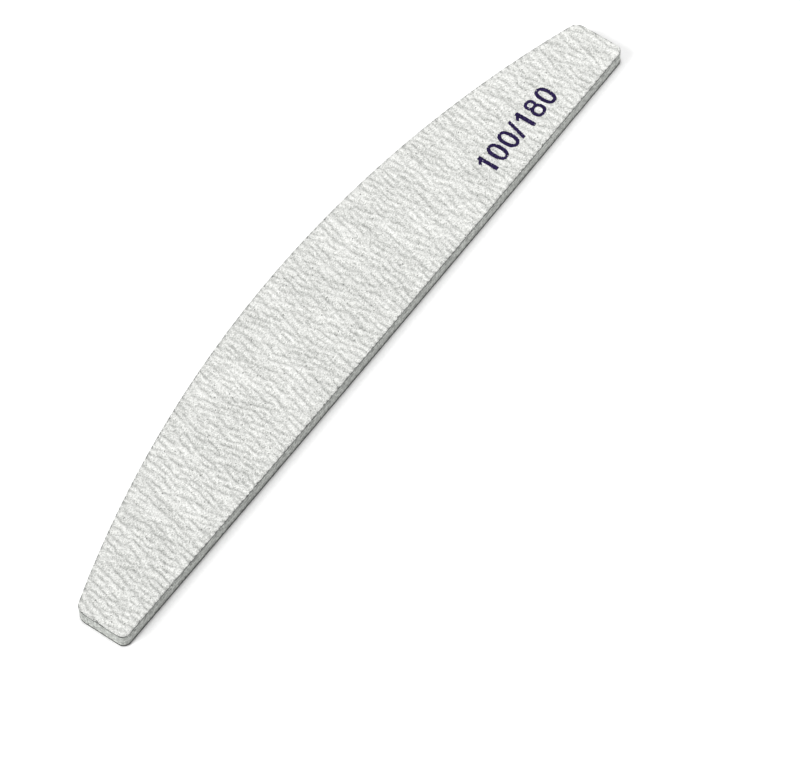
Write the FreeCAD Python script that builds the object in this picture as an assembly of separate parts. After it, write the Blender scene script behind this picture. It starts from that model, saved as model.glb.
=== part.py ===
import FreeCAD, Part
import math
import os

# A half-moon emery board, lying flat with its fine face up.
# It is a laminate: sheets of abrasive paper, tape, foam and plastic are stuck together and
# die-cut in one stroke, so every layer takes its edge from the same outline.
# Sizes are in millimetres. X runs along the board, Y from the straight edge to the arched
# back, and Z up. The origin lies under the middle of the board, on the surface it rests on.

# Outline of the die
board_length = 178.0
crown_width = 27.8           # from the ends of the straight edge to the top of the arched back
end_width = 12.4             # from the straight edge to the arched back at each end, unrounded
edge_bow = 0.3               # how far the middle of the straight edge stands out past its ends
front_corner_radius = 1.8    # between an end and the straight edge
back_corner_radius = 2.6     # between an end and the arched back

# Layers, from the coarse face up to the fine face
coarse_coat_thickness = 0.35
coarse_paper_thickness = 0.35
paper_tape_thickness = 0.1
foam_thickness = 1.0
core_tape_thickness = 0.1
core_thickness = 0.8
fine_paper_thickness = 0.2
fine_coat_thickness = 0.2

# Edges that the die leaves
coarse_rim_radius = 0.25     # worn-over rim of the coarse coat
fine_rim_radius = 0.13       # worn-over rim of the fine coat
foam_dish = 0.12             # hollow at mid-height of the foam, which springs back after the cut
rim_share = 0.9              # most of a coat's thickness that its rounded rim may take

# Circles of the two long edges, placed so that the board is centred on Y = 0
half_length = board_length / 2
board_width = crown_width + edge_bow
back_rise = crown_width - end_width
back_radius = (half_length**2 + back_rise**2) / (2 * back_rise)
back_centre_y = board_width / 2 - back_radius
front_radius = (half_length**2 + edge_bow**2) / (2 * edge_bow)
front_centre_y = front_radius - board_width / 2


def arc(start, end, centre):
    """Arc of less than half a turn, from its two ends and its centre."""
    bisector = (start - centre + end - centre).normalize()
    radius = (start - centre).Length
    return Part.Arc(start, centre + bisector * radius, end)


def rounded_corner(side, circle_y, circle_radius, corner_radius, inset, level):
    """Ends and centre of the arc that rounds the +X end of the board into a long edge.

    The arc lies inside the end's line and inside the long edge's circle, so its centre is one
    corner radius in from both. side is 1 at the back and -1 at the front, and inset draws the
    arc in towards the board. The first point is on the end and the second on the long edge.
    """
    centre_x = half_length - corner_radius
    reach = circle_radius - corner_radius
    centre_y = circle_y + side * math.sqrt(reach**2 - centre_x**2)
    centre = FreeCAD.Vector(centre_x, centre_y, level)
    to_end = FreeCAD.Vector(1, 0, 0)
    to_edge = FreeCAD.Vector(centre_x, centre_y - circle_y, 0).normalize()
    drawn_radius = corner_radius - inset
    return centre + to_end * drawn_radius, centre + to_edge * drawn_radius, centre


def outline(level, inset=0.0):
    """Closed outline of the die at one height, drawn in by an inset.

    The +X half runs from the bow of the straight edge round the end to the crown of the back,
    and the other half is its mirror image.
    """
    bow = FreeCAD.Vector(0, inset - board_width / 2, level)
    crown = FreeCAD.Vector(0, board_width / 2 - inset, level)
    front_centre = FreeCAD.Vector(0, front_centre_y, level)
    back_centre = FreeCAD.Vector(0, back_centre_y, level)
    front_end, front_edge, front_corner_centre = rounded_corner(
        -1, front_centre_y, front_radius, front_corner_radius, inset, level)
    back_end, back_edge, back_corner_centre = rounded_corner(
        1, back_centre_y, back_radius, back_corner_radius, inset, level)
    curves = [
        arc(bow, front_edge, front_centre),
        arc(front_edge, front_end, front_corner_centre),
        Part.LineSegment(front_end, back_end),
        arc(back_end, back_edge, back_corner_centre),
        arc(back_edge, crown, back_centre),
    ]
    half = [curve.toShape() for curve in curves]
    mirror_point = FreeCAD.Vector(0, 0, level)
    mirror_normal = FreeCAD.Vector(1, 0, 0)
    other_half = [edge.mirror(mirror_point, mirror_normal) for edge in reversed(half)]
    return Part.Wire(half + other_half)


def sheet(bottom, thickness):
    """Layer of paper, tape or plastic, cut square through."""
    return Part.Face(outline(bottom)).extrude(FreeCAD.Vector(0, 0, thickness))


def foam_layer(bottom, thickness):
    """Layer of foam, whose cut edge is dished half-way up."""
    rims = [
        outline(bottom),
        outline(bottom + thickness / 2, foam_dish),
        outline(bottom + thickness),
    ]
    return Part.makeLoft(rims, True)


def grit_coat(bottom, thickness, outer_side, rim_radius):
    """Coat of grit in resin, rounded along the rim of its outer face.

    outer_side is 1 for a coat that faces up and -1 for one that faces down. The rounding stays
    within the coat's own thickness.
    """
    coat = sheet(bottom, thickness)
    outer_face = max(coat.Faces, key=lambda face: outer_side * face.CenterOfMass.z)
    return coat.makeFillet(min(rim_radius, rim_share * thickness), outer_face.Edges)


def coarse_coat(bottom, thickness):
    """Coarse grit, on the underside."""
    return grit_coat(bottom, thickness, -1, coarse_rim_radius)


def fine_coat(bottom, thickness):
    """Fine grit, on the upper side."""
    return grit_coat(bottom, thickness, 1, fine_rim_radius)


# The stack, from the bottom up
layers = [
    ("coarse_grit_coat", coarse_coat, coarse_coat_thickness),
    ("lower_backing_paper", sheet, coarse_paper_thickness),
    ("lower_paper_tape", sheet, paper_tape_thickness),
    ("lower_foam_layer", foam_layer, foam_thickness),
    ("lower_core_tape", sheet, core_tape_thickness),
    ("stiffener_core", sheet, core_thickness),
    ("upper_core_tape", sheet, core_tape_thickness),
    ("upper_foam_layer", foam_layer, foam_thickness),
    ("upper_paper_tape", sheet, paper_tape_thickness),
    ("upper_backing_paper", sheet, fine_paper_thickness),
    ("fine_grit_coat", fine_coat, fine_coat_thickness),
]

os.makedirs("parts", exist_ok=True)
level = 0.0
for name, make_layer, thickness in layers:
    solid = make_layer(level, thickness)
    solid.exportStep(f"parts/{name}.step")
    print(f"{name}: {solid.Volume:.1f} mm3, valid {solid.isValid()}, {len(solid.Faces)} faces")
    level += thickness
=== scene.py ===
import math
from functools import partial
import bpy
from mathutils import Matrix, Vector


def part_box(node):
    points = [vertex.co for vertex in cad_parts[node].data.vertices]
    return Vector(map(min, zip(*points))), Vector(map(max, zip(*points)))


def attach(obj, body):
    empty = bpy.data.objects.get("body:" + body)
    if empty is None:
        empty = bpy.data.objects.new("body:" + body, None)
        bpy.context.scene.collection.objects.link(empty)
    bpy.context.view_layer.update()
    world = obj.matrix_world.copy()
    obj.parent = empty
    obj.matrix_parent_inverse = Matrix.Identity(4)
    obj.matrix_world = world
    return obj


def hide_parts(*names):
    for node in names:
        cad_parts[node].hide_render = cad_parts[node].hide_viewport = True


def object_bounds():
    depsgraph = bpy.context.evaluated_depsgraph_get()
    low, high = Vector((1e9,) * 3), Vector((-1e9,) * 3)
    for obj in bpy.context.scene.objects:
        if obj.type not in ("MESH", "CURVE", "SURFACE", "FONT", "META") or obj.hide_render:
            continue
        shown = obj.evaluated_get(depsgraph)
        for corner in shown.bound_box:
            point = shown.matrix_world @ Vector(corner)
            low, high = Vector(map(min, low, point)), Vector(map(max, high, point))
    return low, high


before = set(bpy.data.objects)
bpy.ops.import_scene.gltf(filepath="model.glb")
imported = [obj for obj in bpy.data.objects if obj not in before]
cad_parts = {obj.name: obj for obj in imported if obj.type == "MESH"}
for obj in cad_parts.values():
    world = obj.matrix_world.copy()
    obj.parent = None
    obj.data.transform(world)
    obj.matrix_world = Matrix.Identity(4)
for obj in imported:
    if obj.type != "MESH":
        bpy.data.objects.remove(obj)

from types import SimpleNamespace

import bpy
import numpy as np
from bpy.props import FloatProperty, FloatVectorProperty, IntProperty, PointerProperty
from bpy.types import Operator, Panel, PropertyGroup
from mathutils import Matrix, Vector

bl_info = {
    "name": "Half-moon emery board",
    "version": (1, 0, 0),
    "blender": (4, 5, 0),
    "location": "3D View > Sidebar > Emery board",
    "description": "Dresses a laminated half-moon emery board with grit, print, cut edges and a stage",
    "category": "Object",
}

MM = 0.001
CAD_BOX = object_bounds()
BODY = "root"
NUMBER = "100/180"
TONE_RANGE = (0.3, 0.7)

# Places of the lamps and their widths, in metres
KEY_PLACE = Vector((-2.75, 1.25, 2.55))
UNDER_KEY_PLACE = Vector((KEY_PLACE.x, KEY_PLACE.y, -KEY_PLACE.z))
KEY_WIDTH = 2.2
FILL_PLACE = Vector((0.22, -0.20, 0.20))
FILL_WIDTH = 0.2


# Properties

def length(name, description, default):
    """Property for a length in metres."""
    return FloatProperty(
        name=name, description=description, default=default, min=0.0, precision=6, unit="LENGTH")


def plain(name, description, default, unit="NONE"):
    """Property for a number of either sign, plain or in a unit."""
    return FloatProperty(name=name, description=description, default=default, precision=3, unit=unit)


def angle(name, description, degrees):
    """Property for an angle, given here in degrees."""
    return FloatProperty(
        name=name, description=description, default=math.radians(degrees), unit="ROTATION")


def colour(name, description, default):
    """Property for a linear colour."""
    return FloatVectorProperty(
        name=name, description=description, default=(*default, 1.0), size=4, min=0.0, max=1.0,
        subtype="COLOR")


class EMERY_PG_outline(PropertyGroup):
    """Outline that the die cuts through every layer."""
    board_length: length("Length", "Length of the board", CAD_BOX[1].x - CAD_BOX[0].x)
    board_width: length(
        "Width", "Width from the bow of the straight edge to the crown", CAD_BOX[1].y - CAD_BOX[0].y)
    end_width: length("End width", "Width at each end before the corners are rounded", 12.4 * MM)
    edge_bow: length("Edge bow", "How far the middle of the straight edge stands out", 0.3 * MM)
    front_corner_radius: length("Front corners", "Radius between an end and the straight edge", 1.8 * MM)
    back_corner_radius: length("Back corners", "Radius between an end and the arched back", 2.6 * MM)
    foam_dish: length("Foam dish", "Hollow half-way up the cut edge of the foam", 0.12 * MM)


class EMERY_PG_fine_face(PropertyGroup):
    """Fine grit face on the upper side."""
    ridge_pitch: length("Ridge pitch", "Usual distance between crinkle ridges", 1.8 * MM)
    ridge_depth: length("Ridge depth", "Height from the lowest valley to the highest ridge", 0.12 * MM)
    crease_depth: length("Crease depth", "Further depth that the shading gives the valleys", 0.2 * MM)
    headroom: length("Headroom", "Room left above the ridges for the ink", 0.025 * MM)
    rim_radius: length("Rim radius", "Rounding along the rim", 0.13 * MM)
    rim_loss: length("Rim loss", "How far grit has broken away along the rim", 0.16 * MM)
    grain_size: length("Grain size", "Usual size of a clump of grit", 0.24 * MM)
    ridge_colour: colour("Ridge colour", "Pale top coat on the ridges", (0.98, 0.985, 0.955))
    # The valley colour is partly the grit's own and partly painted shade in the creases
    valley_grit_and_shade_colour: colour("Valley colour", "Grit in the valleys", (0.36, 0.37, 0.35))
    side_colour: colour("Side colour", "Bare grit along the cut", (0.20, 0.205, 0.20))
    seed: IntProperty(name="Seed", description="Start of the random crinkle", default=11)


class EMERY_PG_coarse_face(PropertyGroup):
    """Coarse grit face on the underside."""
    ridge_pitch: length("Ridge pitch", "Usual distance between crinkle ridges", 2.1 * MM)
    ridge_depth: length("Ridge depth", "Height from the lowest valley to the highest ridge", 0.2 * MM)
    crease_depth: length("Crease depth", "Further depth that the shading gives the valleys", 0.34 * MM)
    headroom: length("Headroom", "Room left beyond the ridges", 0.0)
    rim_radius: length("Rim radius", "Rounding along the rim", 0.25 * MM)
    rim_loss: length("Rim loss", "How far grit has broken away along the rim", 0.1 * MM)
    grain_size: length("Grain size", "Usual size of a clump of grit", 0.40 * MM)
    ridge_colour: colour("Ridge colour", "Pale top coat on the ridges", (0.90, 0.905, 0.875))
    # The valley colour is partly the grit's own and partly painted shade in the creases
    valley_grit_and_shade_colour: colour("Valley colour", "Grit in the valleys", (0.24, 0.245, 0.235))
    # Very dark partly for bare grit and partly as painted shade: the contact shadow along the board's
    # foot
    side_colour: colour("Side colour", "Bare grit along the cut", (0.06, 0.063, 0.06))
    seed: IntProperty(name="Seed", description="Start of the random crinkle", default=29)


class EMERY_PG_edge(PropertyGroup):
    """Layers that show along the cut edge."""
    fine_paper_colour: colour("Fine paper", "Backing paper of the fine grit", (0.18, 0.187, 0.18))
    # Very dark partly for the paper itself and partly as painted shade: the contact shadow along the
    # board's foot
    coarse_paper_and_foot_shade_colour: colour("Coarse paper", "Backing paper of the coarse grit", (0.035, 0.037, 0.035))
    tape_colour: colour("Tape", "Double-sided tape", (0.40, 0.42, 0.40))
    foam_colour: colour("Foam", "Closed-cell foam", (0.44, 0.455, 0.43))
    core_colour: colour("Core", "Plastic stiffener", (0.465, 0.48, 0.455))


class EMERY_PG_number(PropertyGroup):
    """Printed grit numbers."""
    start: length("Start", "From the middle of the board to the first digit", 45.75 * MM)
    base: length("Base line", "From the straight edge's ends to the foot of the digits", 4.29 * MM)
    height: length("Height", "Height of a digit", 5.14 * MM)
    digit_width: length("Digit width", "Width of a round digit", 3.35 * MM)
    advance: length("Advance", "From one digit to the next", 3.97 * MM)
    slash_advance: length("Slash advance", "From the slash to the next digit", 1.95 * MM)
    stroke: length("Stroke", "Width of an upright stroke", 0.95 * MM)
    film: length("Film", "Thickness of the ink over the grit", 0.02 * MM)
    ink_colour: colour("Ink", "Dark purple ink", (0.014, 0.008, 0.043))


class EMERY_PG_stage(PropertyGroup):
    """Floor, light and camera."""
    floor_colour: colour("Floor", "Pale floor", (0.90, 0.90, 0.90))
    floor_lift: plain("Floor lift", "Light added to the floor for the camera alone", 0.33)
    fade_width: length("Fade width", "Stretch along the board over which that light fades", 0.85 * MM)
    fade_inset: length("Fade inset", "How far that stretch reaches under the board", 0.25 * MM)
    floor_radius: length("Floor radius", "Reach of the floor", 2.5)
    ambient: plain("Ambient", "Strength of the even white light", 0.464)
    key_power: plain("Key", "Power of each large lamp, above and below the floor", 116.0, "POWER")
    fill_power: plain("Fill", "Power of the small lamp before the straight edge", 0.29, "POWER")
    azimuth: angle("Azimuth", "Camera's turn about the board", -51.31)
    elevation: angle("Elevation", "Camera's height above the floor", 58.607)
    roll: angle("Roll", "Camera's tilt in the picture", 3.235)
    distance: length("Distance", "From the camera to the point it looks at", 1.0462)
    aim_x: plain("Aim X", "Point that the camera looks at", -7.09 * MM, "LENGTH")
    aim_y: plain("Aim Y", "Point that the camera looks at", -23.25 * MM, "LENGTH")
    lens: plain("Lens", "Focal length on a 36 mm sensor", 225.0, "CAMERA")


class EMERY_PG_board(PropertyGroup):
    """All the sizes and colours of the board."""
    outline: PointerProperty(type=EMERY_PG_outline)
    fine_face: PointerProperty(type=EMERY_PG_fine_face)
    coarse_face: PointerProperty(type=EMERY_PG_coarse_face)
    edge: PointerProperty(type=EMERY_PG_edge)
    number: PointerProperty(type=EMERY_PG_number)
    stage: PointerProperty(type=EMERY_PG_stage)


# Outline of the board

def long_edge(side, circle_y, circle_radius, corner_radius, half_length):
    """Circle of one long edge and the corner arc that joins it to an end.

    The corner's centre is one corner radius in from the end and from the circle. side is 1 at
    the back and -1 at the front.
    """
    corner_x = half_length - corner_radius
    reach = circle_radius - corner_radius
    corner_y = circle_y + side * math.sqrt(reach**2 - corner_x**2)
    turn = math.atan2(side * (corner_y - circle_y), corner_x)
    return SimpleNamespace(
        side=side, circle_y=circle_y, circle_radius=circle_radius, corner_x=corner_x,
        corner_y=corner_y, corner_radius=corner_radius, turn=turn,
        tangent_x=corner_x + corner_radius * math.cos(turn))


def die_outline(sizes):
    """The die's outline: two ends, two long circular edges and four corner arcs.

    front_ends is the level of the straight edge's ends.
    """
    half_length = sizes.board_length / 2
    half_width = sizes.board_width / 2
    rise = sizes.board_width - sizes.edge_bow - sizes.end_width
    back_radius = (half_length**2 + rise**2) / (2 * rise)
    front_radius = (half_length**2 + sizes.edge_bow**2) / (2 * sizes.edge_bow)
    back = long_edge(
        1, half_width - back_radius, back_radius, sizes.back_corner_radius, half_length)
    front = long_edge(
        -1, front_radius - half_width, front_radius, sizes.front_corner_radius, half_length)
    return SimpleNamespace(
        half_length=half_length, back=back, front=front, front_ends=sizes.edge_bow - half_width)


def edge_y(edge, x):
    """Y of a long edge at each x: on its circle, or past the tangent point on the corner arc."""
    along = np.abs(x)
    on_circle = np.sqrt(np.maximum(edge.circle_radius**2 - along**2, 0.0))
    from_corner = np.clip(along - edge.corner_x, -edge.corner_radius, edge.corner_radius)
    on_corner = np.sqrt(edge.corner_radius**2 - from_corner**2)
    return np.where(
        along < edge.tangent_x,
        edge.circle_y + edge.side * on_circle,
        edge.corner_y + edge.side * on_corner)


def rim_distance(outline, x, y):
    """Distance of each point inwards from the nearest line or arc of the outline."""
    along = np.abs(x)
    nearest = outline.half_length - along
    for edge in (outline.back, outline.front):
        nearest = np.minimum(nearest, edge.circle_radius - np.hypot(x, y - edge.circle_y))
    for edge in (outline.back, outline.front):
        across = edge.side * (y - edge.corner_y)
        direction = np.arctan2(across, along - edge.corner_x)
        in_corner = (direction > 0) & (direction < edge.turn)
        from_corner = edge.corner_radius - np.hypot(along - edge.corner_x, across)
        nearest = np.where(in_corner, from_corner, nearest)
    return nearest


def slopes(field, x, y, step):
    """Slopes of a field of distances along X and Y, from differences over a small step."""
    along_x = (field(x + step, y) - field(x - step, y)) / (2 * step)
    along_y = (field(x, y + step) - field(x, y - step)) / (2 * step)
    return along_x, along_y


def inward(outline, x, y):
    """Unit direction away from the nearest rim at each point."""
    step = 0.01 * MM
    least_steep = 1e-6
    slope_x, slope_y = slopes(partial(rim_distance, outline), x, y, step)
    steep = np.maximum(np.hypot(slope_x, slope_y), least_steep)
    return slope_x / steep, slope_y / steep


def quarter_loop(outline, edge, spacing):
    """Points and outward normals from the middle of the +X end round one corner to X = 0."""
    least_line = 2
    least_corner = 8
    middle_y = (outline.back.corner_y + outline.front.corner_y) / 2
    line_count = max(int(abs(edge.corner_y - middle_y) / spacing), least_line)
    line_y = np.linspace(middle_y, edge.corner_y, line_count, endpoint=False)
    corner_count = max(int(edge.corner_radius * edge.turn / spacing), least_corner)
    corner_turn = np.linspace(0.0, edge.turn, corner_count, endpoint=False)
    arc_count = int(edge.circle_radius * (math.pi / 2 - edge.turn) / spacing)
    arc_turn = np.linspace(edge.turn, math.pi / 2, arc_count)
    turn = np.concatenate([np.zeros(line_count), corner_turn, arc_turn])
    normal = np.stack([np.cos(turn), edge.side * np.sin(turn)], axis=1)
    counts = [line_count, corner_count, arc_count]
    centre_x = np.repeat([edge.corner_x, edge.corner_x, 0.0], counts)
    centre_y = np.repeat([edge.corner_y, edge.corner_y, edge.circle_y], counts)
    centre_y[:line_count] = line_y
    radius = np.repeat([edge.corner_radius, edge.corner_radius, edge.circle_radius], counts)
    points = np.stack([centre_x, centre_y], axis=1) + normal * radius[:, None]
    return points, normal


def outline_loop(outline, spacing):
    """Closed loop of points and outward normals, counter-clockwise from the middle of the +X end.

    Each quarter is worked out at the +X end, and the other end's are mirror images. The loop runs
    along the back first and returns along the front.
    """
    mirror = np.array([-1.0, 1.0])
    halves = []
    for edge in (outline.back, outline.front):
        points, normal = quarter_loop(outline, edge, spacing)
        halves.append((
            np.concatenate([points, points[-2:0:-1] * mirror]),
            np.concatenate([normal, normal[-2:0:-1] * mirror])))
    (back_points, back_normal), (front_points, front_normal) = halves
    points = np.concatenate([back_points, front_points[:0:-1]])
    normal = np.concatenate([back_normal, front_normal[:0:-1]])
    return points, normal


# Random relief

def wave_sum(coordinates, vectors, phases):
    """Sum of plane waves at every point: a complex number whose real part has a spread of one."""
    total = np.zeros(coordinates.shape[:-1], dtype=complex)
    for vector, phase in zip(vectors, phases):
        total += np.exp(1j * (coordinates @ vector + phase))
    return total * math.sqrt(2.0 / len(phases))


def crinkle(x, y, pitch, seed):
    """Crinkle of a grit face, from 0 in the deepest valley to 1 on the highest ridge.

    Many plane waves are added up. Their lengths lie about the pitch. Their directions lie about
    two slants to either side of the board's length, so ridges run across the width, cross each
    other and branch. Where the waves cancel, the sum is strengthened, so no patch stays smooth.
    It is skewed, which makes ridges broader than valleys, and then limited softly.
    """
    wave_count = 260
    pitch_spread = 0.33
    least_ratio = 0.35
    most_ratio = 1.9
    mean_slant = math.radians(14.5)
    slant_spread = math.radians(9)
    usual_size = math.sqrt(2.0)
    least_size = 0.15
    evening = 0.5
    skew = -0.2
    limit = 1.6
    draw = np.random.default_rng(seed)
    ratio = np.clip(draw.normal(1.0, pitch_spread, wave_count), least_ratio, most_ratio)
    number = 2 * math.pi / pitch * ratio
    stray = draw.normal(0.0, slant_spread, wave_count)
    slant = stray + mean_slant * draw.choice([-1, 1], wave_count)
    vectors = np.stack([number * np.cos(slant), number * np.sin(slant)], axis=1)
    phases = draw.uniform(0.0, 2 * math.pi, wave_count)
    waves = wave_sum(np.stack([x, y], axis=-1), vectors, phases)
    evened = waves.real * (usual_size / np.maximum(np.abs(waves), least_size)) ** evening
    skewed = evened + skew * (evened**2 - 1.0)
    return 0.5 + 0.5 * np.tanh(skewed / limit)


def roughness(points, size, seed):
    """Even random bumps of about one size in every direction, with a spread of about one."""
    wave_count = 160
    least_ratio = 0.6
    most_ratio = 1.6
    draw = np.random.default_rng(seed)
    directions = draw.normal(size=(wave_count, points.shape[-1]))
    directions /= np.linalg.norm(directions, axis=1)[:, None]
    number = 2 * math.pi / size * draw.uniform(least_ratio, most_ratio, wave_count)
    phases = draw.uniform(0.0, 2 * math.pi, wave_count)
    return wave_sum(points, directions * number[:, None], phases).real


# Meshes

def new_piece(name, points, faces, material):
    """Object with a smooth-shaded mesh, its place in its vertices."""
    sharp_angle = math.radians(50)
    mesh = bpy.data.meshes.new(name)
    mesh.from_pydata(points.reshape(-1, 3).tolist(), [], faces)
    mesh.polygons.foreach_set("use_smooth", np.ones(len(mesh.polygons), dtype=bool))
    mesh.set_sharp_from_angle(angle=sharp_angle)
    mesh.materials.append(material)
    mesh.update()
    piece = bpy.data.objects.new(name, mesh)
    bpy.context.scene.collection.objects.link(piece)
    return piece


def add_values(piece, name, values):
    """Store one number per vertex for the material to read."""
    attribute = piece.data.attributes.new(name, "FLOAT", "POINT")
    attribute.data.foreach_set("value", np.ascontiguousarray(values, dtype=np.float32).ravel())


def grid_quads(columns, rows):
    """Faces of a grid whose vertices run row by row within each column."""
    index = np.arange(columns * rows).reshape(columns, rows)
    return np.stack(
        [index[:-1, :-1], index[1:, :-1], index[1:, 1:], index[:-1, 1:]], axis=-1).reshape(-1, 4)


def ring_quads(rings, count):
    """Faces of a closed band whose vertices run round each ring in turn."""
    index = np.arange(rings * count).reshape(rings, count)
    following = np.roll(index, -1, axis=1)
    return np.stack(
        [index[:-1], following[:-1], following[1:], index[1:]], axis=-1).reshape(-1, 4)


def loop_cap(loop):
    """Faces that fill a convex loop: strips across it, and one face at each straight end.

    A strip joins two neighbouring points to the two that lie as far back from the loop's start.
    Strips whose four corners are on one line have no area, so those and the next one to them are
    made one face.
    """
    least_area = 1e-12
    count = len(loop)
    near = np.arange(count // 2 - 1)
    strips = np.stack([near, near + 1, count - 2 - near, count - 1 - near], axis=-1)
    corners = loop[strips]
    one = corners[:, 2] - corners[:, 0]
    other = corners[:, 3] - corners[:, 1]
    wide = np.flatnonzero(np.abs(one[:, 0] * other[:, 1] - one[:, 1] * other[:, 0]) > least_area)
    first = int(wide[0])
    last = int(wide[-1])
    start = [*range(first + 2), *range(count - 2 - first, count)]
    end = [*range(last, count - last)]
    return [start, *strips[first + 1:last].tolist(), end]


def coat_columns(outline):
    """X of the columns of a grit coat: even in the middle, closer along the corner arcs."""
    pitch = 0.16 * MM
    arc_steps = 22
    reach = outline.back.corner_radius
    turn = np.linspace(0.0, math.pi / 2, arc_steps + 1)[1:]
    end = outline.half_length - reach * (1.0 - np.sin(turn))
    inner = outline.half_length - reach
    count = int(2 * inner / pitch)
    return np.concatenate([-end[::-1], np.linspace(-inner, inner, count), end])


def coat_grid(outline, rim_radius):
    """X and Y of a grit coat's grid: columns along the board, rows from the front to the back.

    Rows near either long edge keep fixed distances from it, so that the rounded rim is followed,
    and the rest are spread evenly between them.
    """
    inner_rows = 70
    rim_rows = rim_radius * np.array([0.0, 0.15, 0.4, 0.8, 1.6])
    most_share = 0.25
    x = coat_columns(outline)[:, None]
    front = edge_y(outline.front, x)
    back = edge_y(outline.back, x)
    room = np.minimum(rim_rows, most_share * (back - front))
    even = np.linspace(0.0, 1.0, inner_rows + 2)[None, 1:-1]
    low = front + room[:, -1:]
    high = back - room[:, -1:]
    y = np.concatenate([front + room, low + even * (high - low), (back - room)[:, ::-1]], axis=1)
    return np.broadcast_to(x, y.shape).copy(), y


def coat_relief(outline, face, x, y):
    """Depth of a coat's surface below its highest level, with its crinkle and its rim distance.

    The depth is the crinkle's and a little grain's, and runs over into a quarter circle along the
    rim.
    """
    clump_size = 1.6 * face.grain_size
    clump_depth = 0.05 * face.ridge_depth
    ridges = crinkle(x, y, face.ridge_pitch, face.seed)
    grain = roughness(np.stack([x, y], axis=-1), clump_size, face.seed + 1)
    distance = rim_distance(outline, x, y)
    inside = np.clip(distance, 0.0, face.rim_radius)
    rounding = face.rim_radius - np.sqrt(face.rim_radius**2 - (face.rim_radius - inside) ** 2)
    depth = face.ridge_depth * (1.0 - ridges) + clump_depth * (1.0 + np.tanh(grain))
    return face.headroom + np.hypot(depth, rounding), ridges, distance


def coat_faces(columns, rows):
    """Faces of a closed coat that faces up, and the vertices along the rim of its grid.

    The rim runs along the front, the +X end, the back and the other end. The base has a vertex
    under each of the rim's, numbered on from the grid's. It is filled by strips from front to back,
    with one face at each end.
    """
    index = np.arange(columns * rows).reshape(columns, rows)
    rim = np.concatenate([index[:, 0], index[-1, 1:], index[-2::-1, -1], index[0, -2:0:-1]])
    base = columns * rows + np.arange(len(rim))
    walls = np.stack([np.roll(base, -1), base, rim, np.roll(rim, -1)], axis=-1)
    front = base[:columns]
    back = base[columns + rows - 2:2 * columns + rows - 2][::-1]
    strips = np.stack([front[1:-2], back[1:-2], back[2:-1], front[2:-1]], axis=-1)
    ends = [
        [*base[-(rows - 2):], front[0], front[1], back[1], back[0]][::-1],
        [front[-2], *base[columns - 1:columns + rows - 1], back[-2]][::-1],
    ]
    faces = [*grid_quads(columns, rows).tolist(), *walls.tolist(), *strips.tolist(), *ends]
    return faces, rim


def grit_coat(name, outline, face, box, side, material):
    """Closed coat of grit: a crinkled outer grid, its rim and a flat base against the paper.

    side is 1 for a coat that faces up and -1 for one that faces down. Along the rim the grid is
    drawn in by the rim loss, more in the valleys than on the ridges, and it never comes closer to
    the paper than the least coat that is left.
    """
    least_coat = 0.015 * MM
    loss_reach = 0.4 * MM
    base_relief = 0.5
    x, y = coat_grid(outline, face.rim_radius)
    depth, ridges, distance = coat_relief(outline, face, x, y)
    depth = np.minimum(depth, box[1].z - box[0].z - least_coat)
    toward_x, toward_y = inward(outline, x, y)
    loss = face.rim_loss * (1.0 - ridges) * np.exp(-(np.maximum(distance, 0.0) / loss_reach) ** 2)
    x = x + loss * toward_x
    y = y + loss * toward_y
    outer = box[1].z if side > 0 else box[0].z
    inner = box[0].z if side > 0 else box[1].z
    surface = np.stack([x, y, outer - side * depth], axis=-1)
    faces, rim = coat_faces(*x.shape)
    if side < 0:
        faces = [corners[::-1] for corners in faces]
    grid = surface.reshape(-1, 3)
    base = grid[rim]
    base[:, 2] = inner
    piece = new_piece(name, np.concatenate([grid, base]), faces, material)
    add_values(piece, "relief", np.concatenate([ridges.ravel(), np.full(len(base), base_relief)]))
    add_values(piece, "rim", np.concatenate([distance.ravel(), np.zeros(len(base))]) / MM)
    add_values(piece, "side", np.concatenate([np.zeros(len(grid)), np.ones(len(base))]))
    return piece


def foam_layer(name, outline, dish, box, paper_side, material, seed):
    """Closed layer of foam: rings up its cut edge, dished half-way, between two flat faces.

    The inset of a ring is the dish times four times its height up the edge times what is left.
    The painted shade that the material reads darkens the foam toward its paper's colour and fades
    away from the paper, which is above the foam where paper_side is 1 and below it where it is -1.
    The long edges have that painted shade, and the ends have none.
    """
    spacing = 0.25 * MM
    rings = 9
    bump_size = 0.9 * MM
    bump_depth = 0.012 * MM
    edge_shade_reach = 0.12 * MM
    loop, normal = outline_loop(outline, spacing)
    height = np.linspace(0.0, 1.0, rings)[:, None, None]
    hollow = 4.0 * height * (1.0 - height)
    level = box[0].z + height * (box[1].z - box[0].z)
    plan = loop[None] - normal[None] * dish * hollow
    points = np.concatenate([plan, np.broadcast_to(level, (rings, len(loop), 1))], axis=-1)
    away_from_faces = np.minimum(2.0 * hollow, 1.0)
    bumps = roughness(points, bump_size, seed)[..., None] * bump_depth * away_from_faces
    points[..., :2] -= normal[None] * np.abs(bumps)
    count = len(loop)
    top = (rings - 1) * count
    cap = loop_cap(loop)
    faces = [
        *ring_quads(rings, count).tolist(),
        *[[top + corner for corner in face] for face in cap],
        *[face[::-1] for face in cap],
    ]
    piece = new_piece(name, points, faces, material)
    paper_level = box[1].z if paper_side > 0 else box[0].z
    # Painted shade: the foam is darkened next to the paper on the long edges only, where the board's
    # shade falls
    nearness = np.exp(-((points[..., 2] - paper_level) / edge_shade_reach) ** 2)
    add_values(piece, "painted_edge_shade", nearness * normal[None, :, 1] ** 2)
    return piece


# Printed numbers

def box_field(x, y, left, right, foot, head, lean=0.0):
    """Distance outside an upright or leaning bar: lean is the shift of its head along X."""
    slope = lean / (head - foot)
    shifted = x - slope * (y - foot)
    upright = math.sqrt(1.0 + slope**2)
    return np.maximum(
        np.maximum(left - shifted, shifted - right) / upright, np.maximum(foot - y, y - head))


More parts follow.
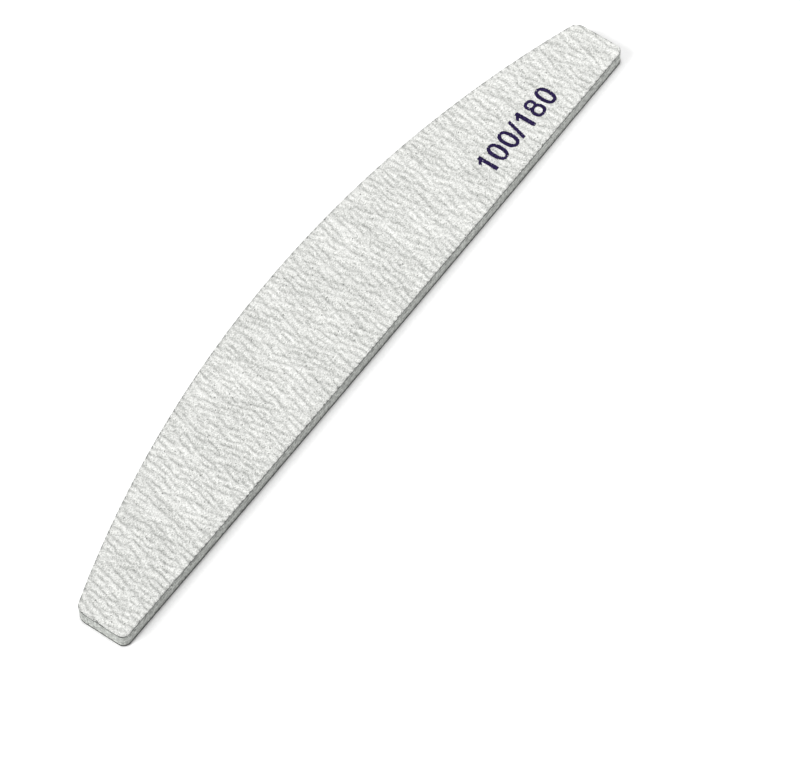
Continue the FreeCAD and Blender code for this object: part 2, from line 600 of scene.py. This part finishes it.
def oval_field(x, y, centre_x, centre_y, half_width, half_height):
    """Distance outside a squarish oval, to first order: its level over the level's slope."""
    power = 2.35
    least = 1e-6
    across = np.maximum(np.abs(x - centre_x) / half_width, least)
    up = np.maximum(np.abs(y - centre_y) / half_height, least)
    level = (across**power + up**power) ** (1.0 / power)
    slope = level ** (1.0 - power) * np.hypot(
        across ** (power - 1.0) / half_width, up ** (power - 1.0) / half_height)
    return (level - 1.0) / np.maximum(slope, least)


def ring_field(x, y, centre_x, centre_y, half_width, half_height, side_stroke, head_stroke):
    """Distance outside an oval ring."""
    outer = oval_field(x, y, centre_x, centre_y, half_width, half_height)
    hole = oval_field(x, y, centre_x, centre_y, half_width - side_stroke, half_height - head_stroke)
    return np.maximum(outer, -hole)


def flag_field(x, y, left, right, head, stroke):
    """Distance outside the slanting flag of a one, which falls from the stem's head to the left.

    Its left end is cut along a line that leans from its upper corner towards the stem.
    """
    slope = 0.8
    lean = 0.4
    start = right - 0.6 * stroke
    thickness = 0.72 * stroke
    tip = head + slope * (left - start)
    above = (y - head - slope * (x - start)) / math.sqrt(1.0 + slope**2)
    cut = (left - x - lean * (y - tip)) / math.sqrt(1.0 + lean**2)
    sides = np.maximum(cut, x - right)
    return np.maximum(sides, np.maximum(np.maximum(above, -above - thickness), y - head))


def digit_field(sign, x, y, sizes):
    """Distance outside one plain digit or slash whose left foot is at the origin."""
    width = sizes.digit_width
    height = sizes.height
    stroke = sizes.stroke
    head_stroke = 0.74 * stroke
    middle = width / 2
    if sign == "0":
        return ring_field(x, y, middle, height / 2, middle, height / 2, stroke, head_stroke)
    if sign == "8":
        lower_half = 0.315 * height
        lower_stroke = 0.9 * stroke
        upper_half = 0.255 * height
        upper_half_width = 0.41 * width
        upper_stroke = 0.75 * stroke
        lower = ring_field(x, y, middle, lower_half, middle, lower_half, lower_stroke, head_stroke)
        upper = ring_field(
            x, y, middle, height - upper_half, upper_half_width, upper_half, upper_stroke, head_stroke)
        return np.minimum(lower, upper)
    if sign == "1":
        stem_right = 0.77 * width
        stem_left = stem_right - 1.06 * stroke
        flag_left = 0.19 * width
        stem = box_field(x, y, stem_left, stem_right, 0.0, height)
        return np.minimum(stem, flag_field(x, y, flag_left, stem_right, height, stroke))
    slash_left = -0.11 * width
    slash_right = slash_left + 0.88 * stroke
    slash_lean = 0.41 * width
    return box_field(x, y, slash_left, slash_right, 0.0, height, slash_lean)


def sign_steps(sizes):
    """Distances from the start of each sign of the number to the next."""
    return [sizes.slash_advance if sign == "/" else sizes.advance for sign in NUMBER]


def number_field(x, y, sizes):
    """Distance outside the whole printed number: each sign in its place along the line."""
    places = np.cumsum([0.0, *sign_steps(sizes)[:-1]])
    fields = [digit_field(sign, x - place, y, sizes) for sign, place in zip(NUMBER, places)]
    return np.min(fields, axis=0)


def closed_film(top, cells, drop):
    """Points and faces of a film: its top, its underside and walls along its open edges.

    The underside lies below the top by the drop. An edge is open where no other cell shares it.
    """
    count = len(top)
    under = top - np.array([0.0, 0.0, drop])
    start = cells.ravel()
    end = np.roll(cells, -1, axis=1).ravel()
    alone = ~np.isin(start * count + end, end * count + start)
    start = start[alone]
    end = end[alone]
    walls = np.stack([end, start, start + count, end + count], axis=-1)
    return np.concatenate([top, under]), np.concatenate([cells, cells[:, ::-1] + count, walls])


def number_film(name, outline, face, sizes, level, material):
    """Film of ink over the crinkle: the cells of a fine grid that lie inside the number.

    Corners of those cells that lie near the number's outline are drawn onto it along the slope
    of the distance, and the film follows the crinkle at its own thickness above it. Its underside
    is a little way down in the grit.
    """
    pitch = 0.09 * MM
    margin = 4
    ragged = 0.035 * MM
    ragged_size = 0.5 * MM
    step = 0.2 * pitch
    near = 0.75 * pitch
    least_steep = 0.25
    sunk = 0.01 * MM
    columns = int(sum(sign_steps(sizes)) / pitch) + 2 * margin
    rows = int(sizes.height / pitch) + 2 * margin
    along = (np.arange(columns) - margin) * pitch
    up = (np.arange(rows) - margin) * pitch
    x, y = np.meshgrid(along, up, indexing="ij")
    uneven = ragged * roughness(np.stack([x, y], axis=-1), ragged_size, face.seed + 7)

    def field(at_x, at_y):
        """Distance outside the number, with its uneven edge."""
        return number_field(at_x, at_y, sizes) + uneven

    distance = field(x, y)
    slope_x, slope_y = slopes(field, x, y, step)
    steep = np.maximum(slope_x**2 + slope_y**2, least_steep)
    move = np.where(np.abs(distance) < near, distance, 0.0) / steep
    x = x - move * slope_x
    y = y - move * slope_y
    quads = grid_quads(columns, rows)
    inside = distance.ravel()[quads].mean(axis=1) < 0.0
    used, cells = np.unique(quads[inside], return_inverse=True)
    board_x = x.ravel()[used] + sizes.start
    board_y = y.ravel()[used] + sizes.base + outline.front_ends
    depth, _, _ = coat_relief(outline, face, board_x, board_y)
    top = np.stack([board_x, board_y, level - depth + sizes.film], axis=-1)
    points, faces = closed_film(top, cells.reshape(-1, 4), sizes.film + sunk)
    return new_piece(name, points, faces.tolist(), material)


# Materials

def add(tree, kind, options=None, **inputs):
    """Add a shader node with its options and the values of its inputs, spaces as underscores."""
    made = tree.nodes.new(kind)
    for name, value in (options or {}).items():
        setattr(made, name, value)
    for name, value in inputs.items():
        made.inputs[name.replace("_", " ")].default_value = value
    return made


def join(tree, output, target):
    """Link an output socket to an input socket."""
    tree.links.new(output, target)


def calculate(tree, operation, first, second):
    """Result of a Math node on two sockets."""
    made = add(tree, "ShaderNodeMath", {"operation": operation})
    join(tree, first, made.inputs[0])
    join(tree, second, made.inputs[1])
    return made.outputs[0]


def map_range(tree, value, to_range=(0.0, 1.0), from_range=(0.0, 1.0)):
    """Map a socket from one range to another, and hold it within the second."""
    made = add(tree, "ShaderNodeMapRange")
    for end, limits in (("From", from_range), ("To", to_range)):
        made.inputs[f"{end} Min"].default_value = limits[0]
        made.inputs[f"{end} Max"].default_value = limits[1]
    join(tree, value, made.inputs["Value"])
    return made.outputs["Result"]


def mix_colour(tree, factor, first, second):
    """Mix two colours by a socket. Each colour is a socket or a plain value."""
    mix = add(tree, "ShaderNodeMix", {"data_type": "RGBA"})
    sockets = {socket.identifier: socket for socket in mix.inputs}
    join(tree, factor, sockets["Factor_Float"])
    for value, target in ((first, sockets["A_Color"]), (second, sockets["B_Color"])):
        if isinstance(value, bpy.types.NodeSocket):
            join(tree, value, target)
        else:
            target.default_value = tuple(value)
    return next(socket for socket in mix.outputs if socket.identifier == "Result_Color")


def scaled(colour_value, factor):
    """A colour made lighter or darker by a factor."""
    return (*(min(channel * factor, 1.0) for channel in colour_value[:3]), 1.0)


def stored(tree, name):
    """Socket of a number that the mesh stores for each vertex."""
    return add(tree, "ShaderNodeAttribute", {"attribute_name": name}).outputs["Fac"]


def add_noise(tree, stretch=(1.0, 1.0, 1.0), **inputs):
    """Noise over the piece's own coordinates, each of which is first scaled."""
    place = add(tree, "ShaderNodeTexCoord")
    mapping = add(tree, "ShaderNodeMapping", {"vector_type": "POINT"}, Scale=stretch)
    join(tree, place.outputs["Object"], mapping.inputs["Vector"])
    noise = add(tree, "ShaderNodeTexNoise", **inputs)
    join(tree, mapping.outputs["Vector"], noise.inputs["Vector"])
    return noise.outputs["Fac"]


def bump(tree, shader, height, strength, distance):
    """Give a shader a bump from a height socket."""
    made = add(tree, "ShaderNodeBump", Strength=strength, Distance=distance)
    join(tree, height, made.inputs["Height"])
    join(tree, made.outputs["Normal"], shader.inputs["Normal"])


def empty_material(name):
    """Material with no shader yet. Returns it, its tree and its output node."""
    material = bpy.data.materials.new(name)
    material.use_nodes = True
    tree = material.node_tree
    tree.nodes.clear()
    return material, tree, add(tree, "ShaderNodeOutputMaterial")


def new_material(name):
    """Material with a Principled shader on its output. Returns it, its tree and the shader."""
    material, tree, output = empty_material(name)
    shader = add(tree, "ShaderNodeBsdfPrincipled")
    join(tree, shader.outputs["BSDF"], output.inputs["Surface"])
    return material, tree, shader


def grain_group():
    """Node group: grain of a given size, as a tone, a height and a random value for each clump.

    The tone adds cells the size of a clump of grit to finer noise. The random value is called the
    lot, and lies between 0 and 1.
    """
    name = "Grit grain"
    if name in bpy.data.node_groups:
        return bpy.data.node_groups[name]
    group = bpy.data.node_groups.new(name, "ShaderNodeTree")
    group.interface.new_socket("Clumps per metre", in_out="INPUT", socket_type="NodeSocketFloat")
    for output in ("Tone", "Height", "Lot"):
        group.interface.new_socket(output, in_out="OUTPUT", socket_type="NodeSocketFloat")
    inputs = add(group, "NodeGroupInput")
    outputs = add(group, "NodeGroupOutput")
    place = add(group, "ShaderNodeTexCoord")
    cells = add(group, "ShaderNodeTexVoronoi", {"feature": "F1"}, Randomness=1.0)
    noise = add(group, "ShaderNodeTexNoise", Detail=3.0, Roughness=0.7)
    for texture in (cells, noise):
        join(group, place.outputs["Object"], texture.inputs["Vector"])
        join(group, inputs.outputs["Clumps per metre"], texture.inputs["Scale"])
    split = add(group, "ShaderNodeSeparateColor")
    join(group, cells.outputs["Color"], split.inputs["Color"])
    dome = map_range(group, cells.outputs["Distance"], (1.0, 0.0), (0.0, 0.9))
    for output, of_cells, noise_share in (("Tone", split.outputs["Red"], 0.7), ("Height", dome, 0.5)):
        mix = add(group, "ShaderNodeMix", {"data_type": "FLOAT"}, Factor=noise_share)
        join(group, of_cells, mix.inputs["A"])
        join(group, noise.outputs["Fac"], mix.inputs["B"])
        join(group, mix.outputs["Result"], outputs.inputs[output])
    join(group, split.outputs["Green"], outputs.inputs["Lot"])
    return group


def add_grain(tree, size):
    """Sockets of the grain group in a material, for clumps of one size: tone, height and lot."""
    grain = add(tree, "ShaderNodeGroup", {"node_tree": grain_group()})
    grain.inputs["Clumps per metre"].default_value = 1.0 / size
    return [grain.outputs[name] for name in ("Tone", "Height", "Lot")]


def grit_material(name, face):
    """Grit under a pale top coat: valleys to ridges, darker in the valleys partly from grit and partly as
    painted crease shade, grain, dark specks and a worn rim.

    The mesh stores the relief from 0 to 1, the distance from the rim in millimetres, and the side,
    which is 1 at the base. A clump is a speck by chance, and the chance is higher near the rim.
    """
    ripple_range = (0.46, 0.76)
    mottle_range = (-1.0, 1.0)
    blotch_range = (-0.25, 0.25)
    blotch_stretch = (1.0, 0.3, 1.0)
    speck_rim = (0.1, 0.35)
    speck_chance = (0.12, 0.004)
    speck_range = (0.0, 0.8)
    speck_shade = 0.3
    uneven_range = (-0.3, 0.3)
    worn_rim = (0.0, 0.7)
    wear_range = (0.2, 0.0)
    side_range = (0.05, 0.4)
    rough_range = (0.75, 0.95)
    crease_range = (0.0, face.crease_depth / MM)
    grain_range = (0.0, 0.06 * face.grain_size / MM)
    material, tree, shader = new_material(name)
    tone, height, lot = add_grain(tree, face.grain_size)
    relief = stored(tree, "relief")
    rim = stored(tree, "rim")
    cloud = add_noise(tree, blotch_stretch, Scale=300.0, Detail=2.0, Roughness=0.5)
    mottle = map_range(tree, tone, mottle_range)
    blotch = map_range(tree, cloud, blotch_range)
    # Painted crease shade: the colour darkens from ridge to valley by the relief, partly the grit's
    # colour and partly shade painted into the creases
    ripple = map_range(tree, relief, ripple_range)
    level = calculate(tree, "ADD", ripple, calculate(tree, "ADD", mottle, blotch))
    grey = mix_colour(tree, level, face.valley_grit_and_shade_colour, face.ridge_colour)
    drawn = calculate(tree, "LESS_THAN", lot, map_range(tree, rim, speck_chance, speck_rim))
    specks = map_range(tree, drawn, speck_range)
    specked = mix_colour(tree, specks, grey, scaled(face.valley_grit_and_shade_colour, speck_shade))
    uneven_rim = calculate(tree, "ADD", rim, map_range(tree, tone, uneven_range))
    wear = map_range(tree, uneven_rim, wear_range, worn_rim)
    worn = mix_colour(tree, wear, specked, face.side_colour)
    side = map_range(tree, stored(tree, "side"), from_range=side_range)
    join(tree, mix_colour(tree, side, worn, face.side_colour), shader.inputs["Base Color"])
    join(tree, map_range(tree, tone, rough_range), shader.inputs["Roughness"])
    shader.inputs["Specular IOR Level"].default_value = 0.25
    creases = map_range(tree, relief, crease_range)
    grains = map_range(tree, height, grain_range)
    bump(tree, shader, calculate(tree, "ADD", creases, grains), 1.0, MM)
    return material


def cut_edge_material(name, base_colour, grain_size, contrast, streak, rough_range, edge_shade_colour=None):
    """Cut edge of one layer: its grain, and faint streaks up the edge where the die went through.

    The grain makes the colour lighter and darker by the contrast. With a shade colour, the edge
    takes on that colour as painted shade where the mesh's stored shade value is high.
    """
    streak_stretch = (1.0, 1.0, 0.12)
    streak_range = (0.35, 0.65)
    streak_shade = 0.72
    edge_shade_range = (0.0, 0.8)
    bump_depth = 0.15 * grain_size
    material, tree, shader = new_material(name)
    tone, height, _ = add_grain(tree, grain_size)
    streaks = add_noise(tree, streak_stretch, Scale=1400.0, Detail=3.0, Roughness=0.65)
    dark = scaled(base_colour, 1.0 - contrast)
    pale = scaled(base_colour, 1.0 + contrast)
    toned = mix_colour(tree, map_range(tree, tone, from_range=TONE_RANGE), dark, pale)
    marks = map_range(tree, streaks, (0.0, streak), streak_range)
    marked = mix_colour(tree, marks, toned, scaled(base_colour, streak_shade))
    # Painted shade: mix toward the shade colour where the mesh's stored shade value is high
    if edge_shade_colour is not None:
        painted_edge_shade = map_range(tree, stored(tree, "painted_edge_shade"), edge_shade_range)
        marked = mix_colour(tree, painted_edge_shade, marked, edge_shade_colour)
    join(tree, marked, shader.inputs["Base Color"])
    join(tree, map_range(tree, tone, rough_range), shader.inputs["Roughness"])
    bump(tree, shader, height, 0.5, bump_depth)
    return material


def ink_material(name, ink_colour, bare_colour, grain_size):
    """Thin dark ink, lighter where it is worn and broken by bare points of grit."""
    thick_shade = 0.5
    thin_shade = 2.2
    gap_range = (0.69, 0.76)
    bare_range = (0.0, 0.5)
    rough_range = (0.6, 0.9)
    bump_depth = 0.1 * grain_size
    material, tree, shader = new_material(name)
    tone, height, _ = add_grain(tree, grain_size)
    mottle = map_range(tree, tone, from_range=TONE_RANGE)
    inked = mix_colour(tree, mottle, scaled(ink_colour, thick_shade), scaled(ink_colour, thin_shade))
    gaps = add_noise(tree, Scale=1900.0, Detail=1.0, Roughness=0.5)
    bare = map_range(tree, gaps, bare_range, gap_range)
    join(tree, mix_colour(tree, bare, inked, bare_colour), shader.inputs["Base Color"])
    join(tree, map_range(tree, tone, rough_range), shader.inputs["Roughness"])
    shader.inputs["Specular IOR Level"].default_value = 0.1
    bump(tree, shader, height, 0.5, bump_depth)
    return material


def seen_directly(tree):
    """Socket that is 1 for rays from the camera, and for those seen in gloss or through glass."""
    path = add(tree, "ShaderNodeLightPath")
    seen = path.outputs["Is Camera Ray"]
    for other in ("Is Glossy Ray", "Is Transmission Ray"):
        seen = calculate(tree, "MAXIMUM", seen, path.outputs[other])
    return seen


def floor_material(name, floor_colour, lift):
    """Matte pale floor, lifted to white for the camera, and clear when seen from below."""
    material, tree, output = empty_material(name)
    matte = add(tree, "ShaderNodeBsdfDiffuse", Color=tuple(floor_colour))
    glow = add(tree, "ShaderNodeEmission")
    fading = map_range(tree, stored(tree, "lift"), (0.0, lift))
    join(tree, calculate(tree, "MULTIPLY", seen_directly(tree), fading), glow.inputs["Strength"])
    lit = add(tree, "ShaderNodeAddShader")
    join(tree, matte.outputs["BSDF"], lit.inputs[0])
    join(tree, glow.outputs["Emission"], lit.inputs[1])
    clear = add(tree, "ShaderNodeBsdfTransparent")
    sides = add(tree, "ShaderNodeMixShader")
    geometry = add(tree, "ShaderNodeNewGeometry")
    join(tree, geometry.outputs["Backfacing"], sides.inputs["Fac"])
    join(tree, lit.outputs["Shader"], sides.inputs[1])
    join(tree, clear.outputs["BSDF"], sides.inputs[2])
    join(tree, sides.outputs["Shader"], output.inputs["Surface"])
    return material


# Operators

def board_settings():
    """The board's sizes and colours in this scene."""
    return bpy.context.scene.emery_board


def board_outline():
    """The die's outline in this scene."""
    return die_outline(board_settings().outline)


def make_coat(grit, face, side):
    """Make one grit coat in place of its solid. Their names start with that of the grit's slot."""
    node = f"{grit}_coat"
    material = grit_material(grit.replace("_", " ").capitalize(), face)
    coat = grit_coat(f"{grit}_face", board_outline(), face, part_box(node), side, material)
    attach(coat, BODY)
    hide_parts(node)


class EMERY_OT_fine_face(Operator):
    """Make the fine grit coat on the upper side"""
    bl_idname = "emery.fine_face"
    bl_label = "Fine face"

    def execute(self, context):
        make_coat("fine_grit", board_settings().fine_face, 1)
        return {"FINISHED"}


class EMERY_OT_coarse_face(Operator):
    """Make the coarse grit coat on the underside"""
    bl_idname = "emery.coarse_face"
    bl_label = "Coarse face"

    def execute(self, context):
        make_coat("coarse_grit", board_settings().coarse_face, -1)
        return {"FINISHED"}


class EMERY_OT_foam(Operator):
    """Make the two foam layers, with their dished cut edges"""
    bl_idname = "emery.foam"
    bl_label = "Foam layers"

    def execute(self, context):
        settings = board_settings()
        # Each foam is darkened toward its paper's colour near that paper, as painted shade
        papers = {
            "lower_foam_layer": (-1, settings.edge.coarse_paper_and_foot_shade_colour),
            "upper_foam_layer": (1, settings.edge.fine_paper_colour),
        }
        for seed, (node, (paper_side, edge_shade_colour)) in enumerate(papers.items()):
            name = node.replace("_layer", "")
            material = cut_edge_material(
                f"Edge of {name}", settings.edge.foam_colour, grain_size=0.48 * MM, contrast=0.55,
                streak=0.25, rough_range=(0.75, 0.95), edge_shade_colour=edge_shade_colour)
            layer = foam_layer(
                name, board_outline(), settings.outline.foam_dish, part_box(node), paper_side,
                material, seed)
            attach(layer, BODY)
            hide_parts(node)
        return {"FINISHED"}


class EMERY_OT_cut_edges(Operator):
    """Give the papers, tapes and core the look of their cut edges"""
    bl_idname = "emery.cut_edges"
    bl_label = "Cut edges"

    def execute(self, context):
        colours = board_settings().edge
        smeared_shade = 1.6
        tape = cut_edge_material(
            "Tape edge", colours.tape_colour, grain_size=0.35 * MM, contrast=0.5, streak=0.35,
            rough_range=(0.5, 0.7))
        # The lower paper and the tape beside it take the very dark coarse paper colour, partly the
        # paper's own and partly painted shade at the board's foot
        papers = {
            "lower": ("Coarse paper edge", colours.coarse_paper_and_foot_shade_colour),
            "upper": ("Fine paper edge", colours.fine_paper_colour),
        }
        for level, (name, paper_colour) in papers.items():
            paper = cut_edge_material(
                name, paper_colour, grain_size=0.45 * MM, contrast=0.85, streak=0.5,
                rough_range=(0.75, 0.95))
            smeared_tape = cut_edge_material(
                f"{name}, tape", scaled(paper_colour, smeared_shade), grain_size=0.45 * MM,
                contrast=0.8, streak=0.35, rough_range=(0.5, 0.7))
            self.dress(f"{level}_backing_paper", paper)
            self.dress(f"{level}_paper_tape", smeared_tape)
            self.dress(f"{level}_core_tape", tape)
        core = cut_edge_material(
            "Core edge", colours.core_colour, grain_size=0.48 * MM, contrast=0.48, streak=0.45,
            rough_range=(0.45, 0.65))
        self.dress("stiffener_core", core)
        return {"FINISHED"}

    def dress(self, node, material):
        """Put a material on a CAD node."""
        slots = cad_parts[node].data.materials
        slots.clear()
        slots.append(material)


class EMERY_OT_number(Operator):
    """Print the grit numbers on the fine face"""
    bl_idname = "emery.number"
    bl_label = "Grit numbers"

    def execute(self, context):
        settings = board_settings()
        face = settings.fine_face
        material = ink_material(
            "Printing ink", settings.number.ink_colour, face.ridge_colour, face.grain_size)
        film = number_film(
            "grit_number_print", board_outline(), face, settings.number,
            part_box("fine_grit_coat")[1].z, material)
        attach(film, BODY)
        return {"FINISHED"}


class EMERY_OT_stage(Operator):
    """Make the floor, the light and the camera"""
    bl_idname = "emery.stage"
    bl_label = "Stage"

    def execute(self, context):
        settings = board_settings().stage
        self.floor(settings)
        self.world(context, settings)
        self.lamp(context, "Key", KEY_PLACE, KEY_WIDTH, settings.key_power)
        self.lamp(context, "Fill", FILL_PLACE, FILL_WIDTH, settings.fill_power)
        self.lamp(context, "Under key", UNDER_KEY_PLACE, KEY_WIDTH, settings.key_power)
        self.camera(context, settings)
        context.scene.view_settings.view_transform = "Standard"
        return {"FINISHED"}

    def floor(self, settings):
        """Pale floor, open under the board so that the underside is lit when seen from below.

        Its rings follow the board's outline out to a wide circle, and the light that is added for
        the camera fades away over the last stretch before the board, so the foot stays dark.
        """
        below = 0.02 * MM
        opening = 0.8 * MM
        spacing = 2.0 * MM
        fade_rings = 7
        reach = np.linspace(settings.fade_width, 0.0, fade_rings) - settings.fade_inset
        offsets = np.array([*reach, -opening])
        loop, normal = outline_loop(board_outline(), spacing)
        turn = np.arctan2(loop[:, 1], loop[:, 0])
        circle = settings.floor_radius * np.stack([np.cos(turn), np.sin(turn)], axis=-1)
        plan = np.concatenate([circle[None], loop[None] + normal[None] * offsets[:, None, None]])
        rings = len(plan)
        points = np.concatenate([plan, np.full((rings, len(loop), 1), -below)], axis=-1)
        share_out = np.array([1.0, *((offsets + settings.fade_inset) / settings.fade_width)])
        share_out = np.clip(share_out, 0.0, 1.0)
        lift = share_out**2 * (3.0 - 2.0 * share_out)
        material = floor_material("Pale floor", settings.floor_colour, settings.floor_lift)
        piece = new_piece("floor", points, ring_quads(rings, len(loop)).tolist(), material)
        add_values(piece, "lift", np.repeat(lift, len(loop)))

    def world(self, context, settings):
        """Even white light, which the camera sees as plain white."""
        world = bpy.data.worlds.new("Studio")
        context.scene.world = world
        world.use_nodes = True
        tree = world.node_tree
        tree.nodes.clear()
        output = add(tree, "ShaderNodeOutputWorld")
        sky = add(tree, "ShaderNodeBackground", Color=(1.0, 1.0, 1.0, 1.0))
        strength = map_range(tree, seen_directly(tree), (settings.ambient, 1.0))
        join(tree, strength, sky.inputs["Strength"])
        join(tree, sky.outputs["Background"], output.inputs["Surface"])

    def lamp(self, context, name, place, size, power):
        """Soft round lamp that faces the board."""
        lamp = bpy.data.lights.new(name, "AREA")
        lamp.shape = "DISK"
        lamp.size = size
        lamp.energy = power
        piece = bpy.data.objects.new(name, lamp)
        piece.location = place
        piece.rotation_euler = place.to_track_quat("Z", "Y").to_euler()
        piece.visible_camera = False
        context.scene.collection.objects.link(piece)

    def camera(self, context, settings):
        """Camera turned by azimuth and elevation about its aim, then rolled about its own axis."""
        camera = bpy.data.cameras.new("Camera")
        camera.lens = settings.lens
        camera.sensor_width = 36.0
        camera.clip_start = 0.01
        camera.clip_end = 20.0
        piece = bpy.data.objects.new("Camera", camera)
        turn = (
            Matrix.Rotation(settings.azimuth, 4, "Z")
            @ Matrix.Rotation(math.pi / 2 - settings.elevation, 4, "X"))
        aim = Vector((settings.aim_x, settings.aim_y, 0.0))
        place = aim + turn @ Vector((0.0, 0.0, settings.distance))
        piece.matrix_world = Matrix.Translation(place) @ turn @ Matrix.Rotation(-settings.roll, 4, "Z")
        context.scene.collection.objects.link(piece)
        context.scene.camera = piece


class EMERY_PT_board(Panel):
    """Lists the board's pieces and their sizes"""
    bl_idname = "EMERY_PT_board"
    bl_label = "Half-moon emery board"
    bl_space_type = "VIEW_3D"
    bl_region_type = "UI"
    bl_category = "Emery board"

    def draw(self, context):
        settings = context.scene.emery_board
        for group, _, operator in PANEL_ROWS:
            box = self.layout.box()
            box.operator(operator.bl_idname)
            sizes = getattr(settings, group)
            for name in sizes.__annotations__:
                box.prop(sizes, name)


PANEL_ROWS = [
    ("outline", EMERY_PG_outline, EMERY_OT_foam),
    ("fine_face", EMERY_PG_fine_face, EMERY_OT_fine_face),
    ("coarse_face", EMERY_PG_coarse_face, EMERY_OT_coarse_face),
    ("edge", EMERY_PG_edge, EMERY_OT_cut_edges),
    ("number", EMERY_PG_number, EMERY_OT_number),
    ("stage", EMERY_PG_stage, EMERY_OT_stage),
]

CLASSES = [
    *[sizes for _, sizes, _ in PANEL_ROWS],
    EMERY_PG_board,
    *[operator for _, _, operator in PANEL_ROWS],
    EMERY_PT_board,
]


def register():
    """Register the classes and give every scene a board."""
    for item in CLASSES:
        bpy.utils.register_class(item)
    bpy.types.Scene.emery_board = PointerProperty(type=EMERY_PG_board)


def unregister():
    """Undo what register did."""
    del bpy.types.Scene.emery_board
    for item in reversed(CLASSES):
        bpy.utils.unregister_class(item)


def main():
    """Build every piece in order."""
    register()
    bpy.ops.emery.fine_face()
    bpy.ops.emery.coarse_face()
    bpy.ops.emery.foam()
    bpy.ops.emery.cut_edges()
    bpy.ops.emery.number()
    bpy.ops.emery.stage()


if __name__ == "__main__":
    main()
